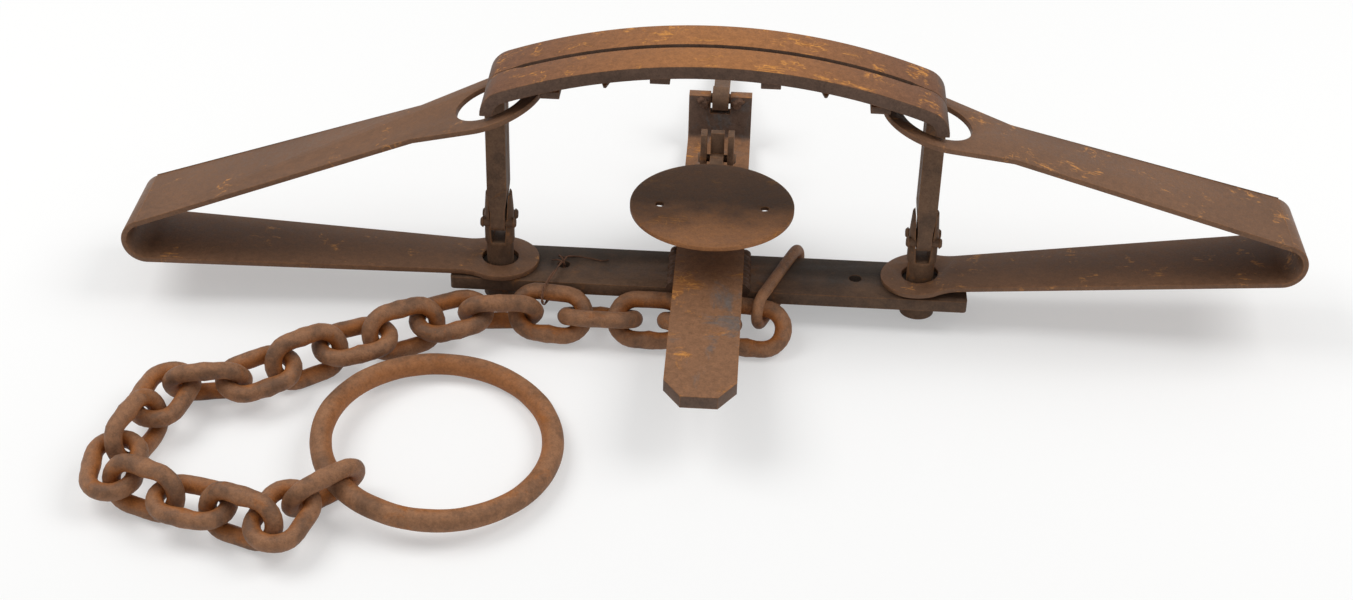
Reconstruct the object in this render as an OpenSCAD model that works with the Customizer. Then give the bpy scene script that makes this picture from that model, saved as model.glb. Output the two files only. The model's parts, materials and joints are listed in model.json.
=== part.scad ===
// Double long-spring leghold trap, sprung, with its chain and ring laid out on the ground.
// The trap leans back on its two feet and the heel of its cross bar.
// Trap pieces are drawn about the middle of the base bar's top face, X along the base bar,
// Y to the rear and Z up, and are then set down on the ground by standing().

/* [Frame bars] */
// Width of the flat bar used for the base and the cross
bar_w = 50.8; // [40:0.2:60]
// Thickness of the flat bar
bar_t = 9.5; // [6:0.5:14]
// Length of the base bar
base_len = 382; // [360:1:440]
// Rounding of the base bar's corners
base_corner_r = 3; // [1:0.5:8]
// Distance of the two drilled holes from the middle of the base bar
base_hole_x = 109; // [80:1:120]
// Diameter of the two drilled holes
base_hole_d = 9.5; // [6:0.5:14]
// Reach of the cross bar to the front of the middle
cross_front = 175; // [160:1:230]
// Reach of the cross bar to the rear, to the outer face of its upright
cross_rear = 196.5; // [192:0.5:240]
// Height of the upright's top above the underside of the cross bar
upright_h = 49; // [40:0.5:70]
// Inner radius of the bend below the upright
bend_r = 6; // [3:0.5:12]
// Length of the chamfers on the front end, along the bar
chamfer_l = 19; // [5:1:30]
// Width of the chamfers on the front end, across the bar
chamfer_w = 12.5; // [4:0.5:20]
// Leg of the fillet welds between the two bars
weld_leg = 6; // [3:0.5:10]

/* [Posts] */
// Distance of each post's middle inside the outer end of the jaw bows
post_inset = 8; // [7:0.5:9]
// Diameter of the fork on each post
fork_d = 22; // [20:0.5:26]
// Diameter of the neck below the fork
neck_d = 20; // [16:0.5:22]
// Height of the neck above the base bar
neck_h = 20; // [16:0.5:26]
// Height of the fork's top above the base bar
fork_h = 60; // [54:0.5:80]
// Diameter of the fork at its hammered top
fork_top_d = 19.5; // [18:0.5:26]
// Width of the fork's slot at its floor
slot_w = 10; // [8:0.2:12]
// Width of the fork's slot at its top
slot_top_w = 15; // [14:0.2:16]
// Diameter of the foot below the base bar
foot_d = 25.4; // [22:0.2:34]
// Height of the foot below the base bar
foot_h = 16; // [8:0.5:24]

/* [Jaws] */
// Height of the jaw pins above the base bar
pin_z = 38; // [35:0.5:44]
// Distance of each jaw pin in front of or behind the post's middle
pin_y = 6.5; // [6:0.1:7.5]
// Diameter of the jaw pins
pin_d = 6.5; // [4:0.1:7]
// Diameter of the pins' rivet heads
pin_head_d = 9; // [7.5:0.1:10]
// Height of the pins' rivet heads
pin_head_h = 2.2; // [1:0.1:4]
// Height of the bow's crown above the base bar
jaw_h = 186; // [176:1:192]
// Width over the outside of the bow's ends
jaw_span = 329; // [322:1:340]
// Radius of the bow's arch
arch_r = 440; // [420:5:600]
// Outer radius of the bow's shoulders
shoulder_r = 20; // [16:1:24]
// Width of the bow's flat bar
jaw_w = 30.5; // [24:0.5:34]
// Thickness of the bow's flat bar
jaw_t = 9.5; // [7:0.5:12]
// Gap between the two shut bows along their middle
jaw_gap = 5; // [2:0.5:10]
// Gap between the two shut bows at their ends, and between their legs
jaw_meet = 0.8; // [0.6:0.1:1.6]
// Width of the legs above the fork
leg_w = 14.2; // [12:0.2:15]
// Length of the bow's straight ends, down to the legs
stub_l = 0.6; // [0.4:0.2:6]
// Distance between neighbouring teeth of the two jaws
tooth_pitch = 38.5; // [32:0.5:42]
// Width of a tooth at its root
tooth_w = 14; // [8:0.5:20]
// Depth of a tooth below its bow
tooth_h = 9; // [6:0.5:12]
// Reach of a tooth past the middle
tooth_reach = 24; // [12:0.5:27]

/* [Springs] */
// Thickness of the spring strip
strip_t = 4; // [3:0.25:6]
// Width of the strip at the bend
strip_w = 70; // [58:1:80]
// Width of the strip at the necks behind its eyes
strip_neck_w = 45; // [36:1:54]
// Distance from the post to the middle of the bend
spring_l = 258; // [220:1:300]
// Radius of the bend at the strip's middle
spring_r = 15.5; // [12:0.5:22]
// Depth of the upper eyes' middle below the bow ends when the trap is sprung
eye_drop = 3.4; // [3.2:0.2:10]
// Slope of the left spring's lower leaf
left_rise = 1.2; // [0.5:0.1:8]
// Slope of the right spring's lower leaf
right_rise = 6.2; // [0.5:0.1:8]
// Outer diameter of the spring eyes
eye_d = 58; // [52:1:66]
// Diameter of the lower eye's hole
lower_hole_d = 27; // [26:0.5:34]
// Width of the upper eye's hole
upper_hole_w = 34; // [32:0.5:38]
// Length of the upper eye's hole
upper_hole_l = 48; // [46:0.5:54]
// Radius of the hollow between an eye and its neck
neck_fillet = 30; // [15:1:60]

/* [Pan and dog] */
// Diameter of the pan
pan_d = 122; // [90:1:130]
// Thickness of the pan
pan_t = 3; // [2:0.25:5]
// Depth of the pan's dish
pan_dish = 3; // [1:0.5:6]
// Height of the pan's rim above the base bar
pan_z = 48.5; // [44:0.5:60]
// Distance of the pan's middle behind the middle of the base bar
pan_y = 16; // [8:1:20]
// Distance of the pan's two small holes from its middle
pan_hole_x = 39; // [25:1:45]
// Diameter of the pan's two small holes
pan_hole_d = 6.5; // [4:0.5:10]
// Distance of the pan pin behind the middle of the base bar
pan_pin_y = 131; // [126:1:134]
// Height of the pan pin above the cross bar
pan_pin_h = 14; // [12:0.5:18]
// Diameter of the pan pin
pan_pin_d = 6; // [4:0.5:7]
// Width of the pan lever
lever_w = 10.5; // [8:0.5:13]
// Thickness of the pan lever
lever_t = 6; // [4:0.5:7]
// Gap between the pan lever and each ear
lever_gap = 3; // [1:0.5:4]
// Thickness of the two ears
ear_t = 4.8; // [3:0.2:7]
// Length of the ears along the cross bar
ear_l = 22; // [20:0.5:24]
// Height of the ears above the cross bar
ear_h = 37; // [30:1:40]
// Width of the notch in the upright
notch_w = 16; // [14:0.5:20]
// Depth of the notch in the upright
notch_h = 15.5; // [15:0.5:22]
// Diameter of the dog's pin
dog_pin_d = 8; // [6:0.5:9]
// Depth of the dog pin's seat in each side of the notch
dog_pin_seat = 8; // [4:0.5:12]
// Width of the dog
dog_w = 13; // [9:0.5:13.5]
// Thickness of the dog
dog_t = 5.5; // [4:0.5:6]
// Length of the dog from its pin
dog_l = 115; // [90:1:125]

/* [Chain] */
// Wire diameter of the chain
link_d = 12.5; // [10:0.5:13]
// Inside length of a chain link
link_in_l = 38.2; // [38:0.2:40]
// Inside width of a chain link
link_in_w = 18.5; // [18:0.5:22]
// Wire diameter of the ring
ring_d = 15.5; // [10:0.5:16]
// Diameter of the ring at the middle of its wire
ring_dia = 160; // [120:2:200]
// Wire diameter of the loop round the base bar
loop_d = 8.5; // [6:0.5:9]
// Inside length of the loop round the base bar
loop_in_l = 80; // [78:1:84]
// Wire diameter of the tie wire
tie_d = 2; // [1:0.25:3]

/* [Hidden] */
$fn = 64;
eps = 0.01;
play = 0.3;

rust_brown = "#6b4a36";
rust_dark = "#4a3a31";
rust_orange = "#8a5a32";
strip_brown = "#5d4a3f";
chain_brown = "#75503a";

// Posts stand under the ends of the bows
post_x = jaw_span / 2 - post_inset;

// Rest on the ground: the feet's rear edges and the heel of the bend touch it together
bend_out = bend_r + bar_t;
heel_y = cross_rear - bend_out;
foot_z = -bar_t - foot_h;
heel_rise = bend_out - foot_z;
heel_run = heel_y - foot_d / 2;
heel_far = sqrt(heel_rise * heel_rise + heel_run * heel_run);
lean = acos(bend_out / heel_far) - atan2(heel_run, heel_rise);
stand_h = -foot_z * cos(lean) + foot_d / 2 * sin(lean);

// Weld beads: ripples for each leg's length, how far each sinks and how far it laps the next
ripple_rate = 1.5;
ripple_sink = 0.8;
ripple_lap = 1.2;

// Upright, its notch and the dog's pin, which is flush with the upright's top
upright_y = cross_rear - bar_t / 2;
dog_pin_z = upright_h - dog_pin_d / 2;
dog_eye_r = dog_pin_d / 2 + play + dog_t;
dog_pin_rise = dog_pin_z * cos(lean) - upright_y * sin(lean) + stand_h;
blob_d = 9;
blob_small_d = 7.2;
blob_h = 3;
dog_drop = asin((dog_pin_rise - dog_eye_r) / dog_l) - lean;

// Jaws: each bow is a flat bar bent to an arch, two shoulders and two short ends
arch_in_r = arch_r - jaw_t;
end_x = jaw_span / 2;
shoulder_x = end_x - shoulder_r;
arch_turn = asin(shoulder_x / (arch_r - shoulder_r));
arch_steps = 34;
arch_step = 2 * arch_turn / (arch_steps + 2);
shoulder_steps = 8;
shoulder_z = jaw_h - arch_r + (arch_r - shoulder_r) * cos(arch_turn);
leg_top = shoulder_z - stub_l;
leg_r = pin_y - jaw_meet / 2;
slot_floor = neck_h + 2;
tooth_inset = 5;
tooth_slope = 0.22;
tooth_tip = 1;
tooth_end_room = 38;
tooth_last = floor((end_x - tooth_end_room - tooth_w / 2) / tooth_pitch);
head_taper = 0.6;
hammer_h = 18;

// Springs: the lower leaf lies level in its own frame, with the post at the origin,
// and the upper leaf opens until its eye stands just under the bow ends
neck_bite = 0.4;
function seat(rise) = eye_d / 2 * sin(rise) + strip_t / 2 * cos(rise) + play;
function bend_run(rise) = spring_l * cos(rise) - spring_r * sin(rise);
function bend_rise(rise) = leg_top - eye_drop - seat(rise) - spring_l * sin(rise) - spring_r * cos(rise);
function leaf_slope(rise) = atan2(bend_rise(rise), bend_run(rise)) -
    asin(spring_r / norm([bend_run(rise), bend_rise(rise)]));
function spring_open(rise) = leaf_slope(rise) + rise;
function arm_run(rise) = (bend_run(rise) + spring_r * sin(leaf_slope(rise))) / cos(leaf_slope(rise));
hole_shift = (upper_hole_l - upper_hole_w) / 2;

// Pan lever: its pin sits in the ears on the rear arm of the cross bar
pan_pin_z = bar_t + pan_pin_h;
lever_wall = 3.5;
lever_r = pan_pin_d / 2 + play + lever_wall;
lever_front = 30;
lever_rear = 45;
lever_heel = 6;
nose_h = 17;
nose_lean = 2.5;
nose_taper = 2;
pan_head_d = pan_pin_d + 3;
pan_head_h = 2;
pan_steps = 8;
pan_under = pan_z - pan_dish - pan_t;

// Ears: their upper corners are cut off
ear_cut = 6;
ear_nib = 5;

// Chain: each link runs from one joint to the next, with a heading seen from above,
// a roll about its own length and the height of the joint at its far end.
// Where an upright link meets a flat one the joint is the upright link's own wire.
link_slack = 0.8;
upright_roll = 55;
chain_start = [50, -49, 15.4];
link_lay = [
    [175, -35, 16.2], [180, 38, 16.8], [180, -32, 16.8], [183, 37, 18.4], [178, -39, 20.4],
    [186, 66, 21], [205, -3, 21], [207, -70, 21], [204, 3, 21], [213, -70, 21],
    [213, -3, 21], [190, 70, 21], [256, 0, 21], [252, -70, 21], [275, 0, 21],
    [341, 70, 21], [349, -3, 21], [341, 70, 21], [433, 3, 21], [400, -70, 21]
];
link_count = len(link_lay);
function upright(i) = abs(link_lay[i][1]) > upright_roll ? 1 : 0;
function link_half(i, beside) = link_in_l / 2 - link_slack +
    (upright(i) - upright(max(0, min(link_count - 1, beside)))) * (link_d / 2 + link_slack);
function link_len(i) = link_half(i, i - 1) + link_half(i, i + 1);
function joint_z(i) = i == 0 ? chain_start[2] : link_lay[i - 1][2];
function link_climb(i) = asin((joint_z(i + 1) - joint_z(i)) / link_len(i));
function joint_at(i) = i == 0 ? chain_start :
    let (from = joint_at(i - 1), heading = link_lay[i - 1][0])
    let (run = link_len(i - 1) * cos(link_climb(i - 1)))
    [from[0] + run * cos(heading), from[1] + run * sin(heading), joint_z(i)];

// Ring: its wire passes through the last link and its far side lies on the ground
ring_heading = link_lay[link_count - 1][0];
ring_hold = joint_at(link_count) -
    (ring_d / 2 + link_slack) * [cos(ring_heading), sin(ring_heading), 0];
ring_tilt = asin((ring_hold[2] - ring_d / 2) / ring_dia);

// Loop round the base bar: its upper side rests on the bar's top, its front end hangs clear
loop_room = 5.6;
loop_in_w = bar_t + loop_room;
loop_x = 52;
loop_y = -4.7;
loop_turn = 70;

// Tie wire: down through the left base hole and round the upper side of the fifth link
tie_in_l = 45;
tie_in_w = 15;
tie_z = -3;
tie_turn = 75;
tie_back = 2.5;

// Sets a trap piece down on the ground, leaning back on its heel
module standing() {
    translate([0, 0, stand_h]) rotate([-lean, 0, 0]) children();
}

// A cylinder along X, centred
module x_rod(d, l) {
    rotate([0, 90, 0]) cylinder(d = d, h = l, center = true);
}

// The same piece on both sides of the middle
module both_sides() {
    children();
    mirror([1, 0, 0]) children();
}

// An oval link of round wire, lying flat and centred, its length along X
module oval_link(in_l, in_w, d) {
    bow_r = (in_w + d) / 2;
    straight = in_l - in_w;
    for (end = [0, 180]) rotate([0, 0, end]) {
        translate([straight / 2, 0, 0]) rotate([0, 0, -90])
            rotate_extrude(angle = 180) translate([bow_r, 0]) circle(d = d);
        translate([0, bow_r, 0]) x_rod(d, straight);
    }
}

module base_bar() {
    color(rust_brown) standing() difference() {
        translate([0, 0, -bar_t]) linear_extrude(bar_t) {
            square([base_len, bar_w - 2 * base_corner_r], center = true);
            square([base_len - 2 * base_corner_r, bar_w], center = true);
            for (x = [-1, 1], y = [-1, 1])
                translate([x * (base_len / 2 - base_corner_r), y * (bar_w / 2 - base_corner_r)])
                    circle(base_corner_r);
        }
        for (x = [-base_hole_x, base_hole_x])
            translate([x, 0, -bar_t - 1]) cylinder(d = base_hole_d, h = bar_t + 2);
        for (x = [-post_x, post_x])
            translate([x, 0, -bar_t - 1]) cylinder(d = neck_d, h = bar_t + 2);
    }
}

module cross_bar() {
    flat_l = cross_front + heel_y;
    color(rust_orange) standing() difference() {
        union() {
            translate([0, -cross_front, 0]) linear_extrude(bar_t) polygon([
                [-bar_w / 2 + chamfer_w, 0], [bar_w / 2 - chamfer_w, 0],
                [bar_w / 2, chamfer_l], [bar_w / 2, flat_l],
                [-bar_w / 2, flat_l], [-bar_w / 2, chamfer_l]
            ]);
            translate([-bar_w / 2, heel_y, bend_out]) rotate([0, 90, 0])
                rotate_extrude(angle = 90)
                    translate([bend_r, 0]) square([bar_t, bar_w]);
            translate([-bar_w / 2, cross_rear - bar_t, bend_out])
                cube([bar_w, bar_t, upright_h - bend_out]);
        }
        translate([-notch_w / 2, cross_rear - bar_t - 1, upright_h - notch_h])
            cube([notch_w, bar_t + 2, notch_h + 1]);
        translate([0, upright_y, dog_pin_z]) x_rod(dog_pin_d, notch_w + 2 * dog_pin_seat);
    }
}

// A weld bead along Y in the corner of two faces: overlapping ripples, cut to the corner
module weld_bead(l, leg) {
    ripples = floor(l / leg * ripple_rate);
    pitch = l / ripples;
    intersection() {
        for (i = [0:ripples - 1])
            translate([0, i * pitch, 0]) rotate([-90, 0, 0])
                cylinder(r1 = leg, r2 = ripple_sink * leg, h = ripple_lap * pitch);
        cube([leg, l, leg]);
    }
}

module cross_welds() {
    color(rust_dark) standing() both_sides()
        translate([bar_w / 2, -bar_w / 2, 0]) weld_bead(bar_w, weld_leg);
}

// A forked post: foot, neck through the base bar and slotted fork, with its two pin holes
module post(side) {
    hammer_z = fork_h - hammer_h;
    color(rust_brown) standing() translate([side * post_x, 0, 0]) difference() {
        union() {
            translate([0, 0, foot_z]) cylinder(d = foot_d, h = foot_h);
            translate([0, 0, -bar_t]) cylinder(d = neck_d, h = bar_t + neck_h);
            translate([0, 0, neck_h]) cylinder(d = fork_d, h = hammer_z - neck_h);
            translate([0, 0, hammer_z])
                cylinder(d1 = fork_d, d2 = fork_top_d, h = fork_h - hammer_z);
        }
        translate([0, fork_d, 0]) rotate([90, 0, 0]) linear_extrude(2 * fork_d) polygon([
            [-slot_w / 2, slot_floor], [slot_w / 2, slot_floor],
            [slot_top_w / 2, fork_h + eps], [-slot_top_w / 2, fork_h + eps]
        ]);
        for (y = [-pin_y, pin_y]) translate([0, y, pin_z]) x_rod(pin_d, 2 * fork_d);
    }
}

module left_post() { post(-1); }
module right_post() { post(1); }

module jaw_pins() {
    color(rust_dark) standing() for (x = [-post_x, post_x], y = [-pin_y, pin_y])
        translate([x, y, pin_z]) {
            x_rod(pin_d, fork_d);
            both_sides() translate([fork_d / 2, 0, 0]) rotate([0, 90, 0])
                cylinder(d1 = pin_head_d, d2 = head_taper * pin_head_d, h = pin_head_h);
        }
}

// Points of an arc about a middle, from one angle to another
function arc(middle, r, from, to, steps) = [
    for (i = [0:steps])
        let (a = from + (to - from) * i / steps) middle + r * [cos(a), sin(a)]
];

// One edge of the bow's side view, left end to right end, at a depth inside the outer edge
function bow_edge(inset) = concat(
    [[-end_x + inset, leg_top]],
    arc([-shoulder_x, shoulder_z], shoulder_r - inset, 180, 90 + arch_turn, shoulder_steps),
    arc([0, jaw_h - arch_r], arch_r - inset,
        90 + arch_turn - arch_step, 90 - arch_turn + arch_step, arch_steps),
    arc([shoulder_x, shoulder_z], shoulder_r - inset, 90 - arch_turn, 0, shoulder_steps),
    [[end_x - inset, leg_top]]
);

// Front jaw's bow: the two shut bows meet at their ends and stand apart between them
module jaw_bow() {
    inner = bow_edge(jaw_t);
    difference() {
        translate([0, -jaw_meet / 2, 0]) rotate([90, 0, 0])
            linear_extrude(jaw_w + (jaw_gap - jaw_meet) / 2)
                polygon(concat(bow_edge(0), [for (i = [len(inner) - 1:-1:0]) inner[i]]));
        translate([-shoulder_x, -jaw_gap / 2, leg_top])
            cube([2 * shoulder_x, jaw_gap, jaw_h - leg_top + 1]);
    }
}

// Front jaw's legs: flat bars that narrow into the fork and turn on its front pin
module jaw_legs() {
    slot_slope = (slot_top_w - slot_w) / 2 / (fork_h - slot_floor);
    low_half = slot_w / 2 + slot_slope * (pin_z - leg_r - slot_floor) - play;
    top_half = leg_w / 2;
    fork_clear = pin_z + fork_d / 2 + play;
    flare_z = fork_h + play;
    for (side = [-1, 1]) translate([side * post_x, 0, 0]) difference() {
        intersection() {
            rotate([90, 0, 0]) translate([0, 0, jaw_meet / 2]) linear_extrude(2 * leg_r)
                polygon([
                    [-low_half, pin_z - leg_r], [low_half, pin_z - leg_r], [low_half, fork_clear],
                    [top_half - play, flare_z], [top_half, flare_z + leg_w / 4], [top_half, leg_top],
                    [-top_half, leg_top], [-top_half, flare_z + leg_w / 4], [-top_half + play, flare_z],
                    [-low_half, fork_clear]
                ]);
            union() {
                translate([0, -pin_y, pin_z]) x_rod(2 * leg_r, 2 * leg_w);
                translate([-leg_w, -pin_y - leg_r, pin_z]) cube([2 * leg_w, 2 * leg_r, leg_top]);
            }
        }
        translate([0, -pin_y, pin_z]) x_rod(pin_d + play, 2 * leg_w);
    }
}

// Underside of the bow at a distance from its middle
function bow_under(x) = jaw_h - arch_r + sqrt(arch_in_r * arch_in_r - x * x);

// A front jaw tooth: a pointed wedge under the bow that reaches past the middle
module jaw_tooth(x) {
    root_y = -jaw_gap / 2 - jaw_w + tooth_inset;
    drop = tooth_slope * (tooth_reach + jaw_gap / 2);
    root_z = bow_under(abs(x) + tooth_w / 2) - play / 3;
    intersection() {
        translate([x, 0, root_z - 2 * tooth_h]) linear_extrude(3 * tooth_h) polygon([
            [-tooth_w / 2, root_y], [tooth_w / 2, root_y],
            [tooth_w / 2, 0], [tooth_tip, tooth_reach], [-tooth_tip, tooth_reach], [-tooth_w / 2, 0]
        ]);
        translate([x - tooth_w, 0, 0]) rotate([90, 0, 90]) linear_extrude(2 * tooth_w) polygon([
            [root_y, root_z - tooth_h + 2 * tooth_tip], [-jaw_gap / 2, root_z - tooth_h],
            [tooth_reach, root_z - tooth_h + tooth_tip / 2], [tooth_reach, root_z - drop],
            [-jaw_gap / 2, root_z], [root_y, root_z]
        ]);
    }
}

module front_half() { color(rust_orange) standing() children(); }
module rear_half() { color(rust_orange) standing() mirror([0, 1, 0]) children(); }

module front_jaw_bow() { front_half() jaw_bow(); }
module rear_jaw_bow() { rear_half() jaw_bow(); }
module front_jaw_legs() { front_half() jaw_legs(); }
module rear_jaw_legs() { rear_half() jaw_legs(); }

// The jaws' teeth take turns, as many as the bow has room for
module front_jaw_teeth() {
    front_half() for (n = [-tooth_last : tooth_last]) if (n % 2 != 0) jaw_tooth(n * tooth_pitch);
}

module rear_jaw_teeth() {
    rear_half() for (n = [-tooth_last : tooth_last]) if (n % 2 == 0 && n != 0) jaw_tooth(n * tooth_pitch);
}

// A leaf: an eye round the origin, a hollow neck and a taper to the bend
module leaf(length) {
    eye_r = eye_d / 2;
    half_neck = strip_neck_w / 2;
    reach = eye_r + neck_fillet - neck_bite;
    hollow_y = half_neck + neck_fillet;
    hollow_x = sqrt(reach * reach - hollow_y * hollow_y);
    shoulder_y = hollow_y * eye_r / reach;
    difference() {
        union() {
            cylinder(r = eye_r, h = strip_t);
            translate([0, -shoulder_y, 0]) cube([hollow_x, 2 * shoulder_y, strip_t]);
            linear_extrude(strip_t) polygon([
                [0, half_neck], [hollow_x, half_neck], [length, strip_w / 2],
                [length, -strip_w / 2], [hollow_x, -half_neck], [0, -half_neck]
            ]);
        }
        for (side = [-1, 1])
            translate([hollow_x, side * hollow_y, -1]) cylinder(r = neck_fillet, h = strip_t + 2);
    }
}

// A spring's own frame: the lower leaf runs out along +X from the post, resting on the base bar
module spring_place(side, rise) {
    standing() mirror([side < 0 ? 1 : 0, 0, 0]) translate([post_x, 0, seat(rise)])
        rotate([0, -rise, 0]) children();
}

module spring_lower(rise) {
    difference() {
        translate([0, 0, -strip_t / 2]) leaf(spring_l);
        cylinder(d = lower_hole_d, h = 2 * strip_t, center = true);
    }
    translate([spring_l, strip_w / 2, spring_r]) rotate([90, 0, 0]) rotate([0, 0, -90])
        rotate_extrude(angle = 180 - spring_open(rise))
            translate([spring_r - strip_t / 2, 0]) square([strip_t, strip_w]);
}

module spring_upper(rise) {
    arm = arm_run(rise);
    translate([spring_l, 0, spring_r]) rotate([0, spring_open(rise), 0])
        translate([-arm, 0, spring_r - strip_t / 2]) difference() {
            translate([-hole_shift, 0, 0]) leaf(arm + hole_shift);
            for (x = [-hole_shift, hole_shift])
                translate([x, 0, -1]) cylinder(d = upper_hole_w, h = strip_t + 2);
            translate([-hole_shift, -upper_hole_w / 2, -1])
                cube([2 * hole_shift, upper_hole_w, strip_t + 2]);
        }
}

module left_spring_lower() { color(strip_brown) spring_place(-1, left_rise) spring_lower(left_rise); }
module left_spring_upper() { color(strip_brown) spring_place(-1, left_rise) spring_upper(left_rise); }
module right_spring_lower() { color(strip_brown) spring_place(1, right_rise) spring_lower(right_rise); }
module right_spring_upper() { color(strip_brown) spring_place(1, right_rise) spring_upper(right_rise); }

// The pan: a shallow dish with a flat middle, rising to its rim with the square of the radius
module pan() {
    pan_r = pan_d / 2;
    function dish(i) = pan_dish * (i * i / (pan_steps * pan_steps) - 1);
    color(rust_dark) standing() translate([0, pan_y, pan_z]) difference() {
        rotate_extrude() polygon([
            [0, dish(1) - pan_t],
            for (i = [1:pan_steps]) [pan_r * i / pan_steps, dish(i) - pan_t],
            for (i = [pan_steps:-1:1]) [pan_r * i / pan_steps, dish(i)],
            [0, dish(1)]
        ]);
        for (x = [-pan_hole_x, pan_hole_x])
            translate([x, 0, -pan_dish - pan_t - 1]) cylinder(d = pan_hole_d, h = pan_dish + pan_t + 2);
    }
}

// The pan lever: a flat bar from under the pan down to its pin, with a catch nose standing behind
module pan_lever() {
    nose_top = bar_t + ear_h;
    nose_y = pan_pin_y + lever_r;
    color(rust_brown) standing() difference() {
        union() {
            translate([-lever_w / 2, 0, 0]) rotate([90, 0, 90]) linear_extrude(lever_w) polygon([
                [pan_y - lever_front, pan_under], [pan_y - lever_front, pan_under - lever_t],
                [pan_y + lever_rear, pan_under - lever_t],
                [pan_pin_y - lever_heel, pan_pin_z - lever_r],
                [pan_pin_y, pan_pin_z - lever_r], [nose_y, pan_pin_z],
                [nose_y, nose_top - nose_h], [nose_y - nose_lean, nose_top],
                [nose_y - nose_lean - lever_t, nose_top],
                [nose_y - nose_lean - nose_taper - lever_t, nose_top - nose_h],
                [pan_y + lever_rear, pan_under]
            ]);
            translate([0, pan_pin_y, pan_pin_z]) x_rod(2 * lever_r, lever_w);
        }
        translate([0, pan_pin_y, pan_pin_z]) x_rod(pan_pin_d + play, 2 * lever_w);
    }
}

module pan_ears() {
    ear_x = lever_w / 2 + lever_gap;
    color(rust_brown) standing() both_sides() translate([ear_x, pan_pin_y - ear_l / 2, bar_t])
        difference() {
            rotate([90, 0, 90]) linear_extrude(ear_t) polygon([
                [0, 0], [ear_l, 0], [ear_l, ear_h - ear_cut], [ear_l - ear_cut, ear_h],
                [ear_nib, ear_h], [0, ear_h - 2 * ear_cut]
            ]);
            translate([0, ear_l / 2, pan_pin_h]) x_rod(pan_pin_d, 4 * ear_t);
        }
}

module pan_pin() {
    pin_l = lever_w + 2 * lever_gap + 2 * ear_t;
    color(rust_dark) standing() translate([0, pan_pin_y, pan_pin_z]) {
        x_rod(pan_pin_d, pin_l);
        both_sides() translate([pin_l / 2, 0, 0]) rotate([0, 90, 0])
            cylinder(d1 = pan_head_d, d2 = pan_pin_d, h = pan_head_h);
    }
}

// The dog: a strap with an eye curled round its pin, fallen back with its tip on the ground
module dog() {
    color(rust_orange) standing() translate([0, upright_y, dog_pin_z]) rotate([-dog_drop, 0, 0])
        difference() {
            union() {
                x_rod(2 * dog_eye_r, dog_w);
                translate([-dog_w / 2, 0, -dog_eye_r]) cube([dog_w, dog_l - dog_w / 2, dog_t]);
                translate([0, dog_l - dog_w / 2, -dog_eye_r]) cylinder(d = dog_w, h = dog_t);
            }
            x_rod(dog_pin_d + 2 * play, 2 * dog_w);
        }
}

module dog_pin() {
    color(rust_dark) standing() translate([0, upright_y, dog_pin_z])
        x_rod(dog_pin_d, notch_w + 2 * dog_pin_seat);
}

// Two blobs on each side of the notch, on the upright's inner face
module dog_pin_welds() {
    color(rust_dark) standing() both_sides()
        translate([notch_w / 2 + blob_d / 2 + play, cross_rear - bar_t, dog_pin_z - blob_h])
            rotate([90, 0, 0]) {
                cylinder(d1 = blob_d, d2 = blob_d / 2, h = blob_h);
                translate([blob_d / 3, blob_d / 3, 0])
                    cylinder(d1 = blob_small_d, d2 = blob_d / 3, h = blob_h);
            }
}

module base_loop() {
    color(rust_brown) standing() translate([loop_x, loop_y, play - loop_in_w / 2])
        rotate([0, 0, loop_turn]) rotate([90, 0, 0]) oval_link(loop_in_l, loop_in_w, loop_d);
}

module tie_wire() {
    color(rust_dark) standing() translate([-base_hole_x, 0, tie_z]) rotate([0, 0, tie_turn])
        translate([tie_back - (tie_in_l + tie_d) / 2 - tie_d / 2, 0, 0])
            rotate([90, 0, 0]) oval_link(tie_in_l, tie_in_w, tie_d);
}

// A chain link between its two joints, turned to its heading and rolled
module chain_link(i) {
    color(chain_brown) translate(joint_at(i)) rotate([0, -link_climb(i), link_lay[i][0]])
        translate([link_half(i, i - 1), 0, 0]) rotate([link_lay[i][1], 0, 0])
            oval_link(link_in_l, link_in_w, link_d);
}

module anchor_ring() {
    color(chain_brown) translate(ring_hold) rotate([0, ring_tilt, ring_heading])
        translate([ring_dia / 2, 0, 0]) rotate_extrude() translate([ring_dia / 2, 0]) circle(d = ring_d);
}

base_bar();
cross_bar();
cross_welds();
left_post();
right_post();
jaw_pins();
front_jaw_bow();
front_jaw_legs();
front_jaw_teeth();
rear_jaw_bow();
rear_jaw_legs();
rear_jaw_teeth();
left_spring_lower();
left_spring_upper();
right_spring_lower();
right_spring_upper();
pan();
pan_lever();
pan_ears();
pan_pin();
dog();
dog_pin();
dog_pin_welds();
base_loop();
tie_wire();
chain_link(0);  // chain_link_01
chain_link(1);  // chain_link_02
chain_link(2);  // chain_link_03
chain_link(3);  // chain_link_04
chain_link(4);  // chain_link_05
chain_link(5);  // chain_link_06
chain_link(6);  // chain_link_07
chain_link(7);  // chain_link_08
chain_link(8);  // chain_link_09
chain_link(9);  // chain_link_10
chain_link(10);  // chain_link_11
chain_link(11);  // chain_link_12
chain_link(12);  // chain_link_13
chain_link(13);  // chain_link_14
chain_link(14);  // chain_link_15
chain_link(15);  // chain_link_16
chain_link(16);  // chain_link_17
chain_link(17);  // chain_link_18
chain_link(18);  // chain_link_19
chain_link(19);  // chain_link_20
anchor_ring();
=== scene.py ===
"""Looks of a double long-spring leghold trap, sprung, with its chain and ring on the ground."""

import json
from math import acos, asin, atan2, cos, hypot, pi, radians, sin

import bmesh
import bpy
from mathutils import Matrix, Vector, noise


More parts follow.
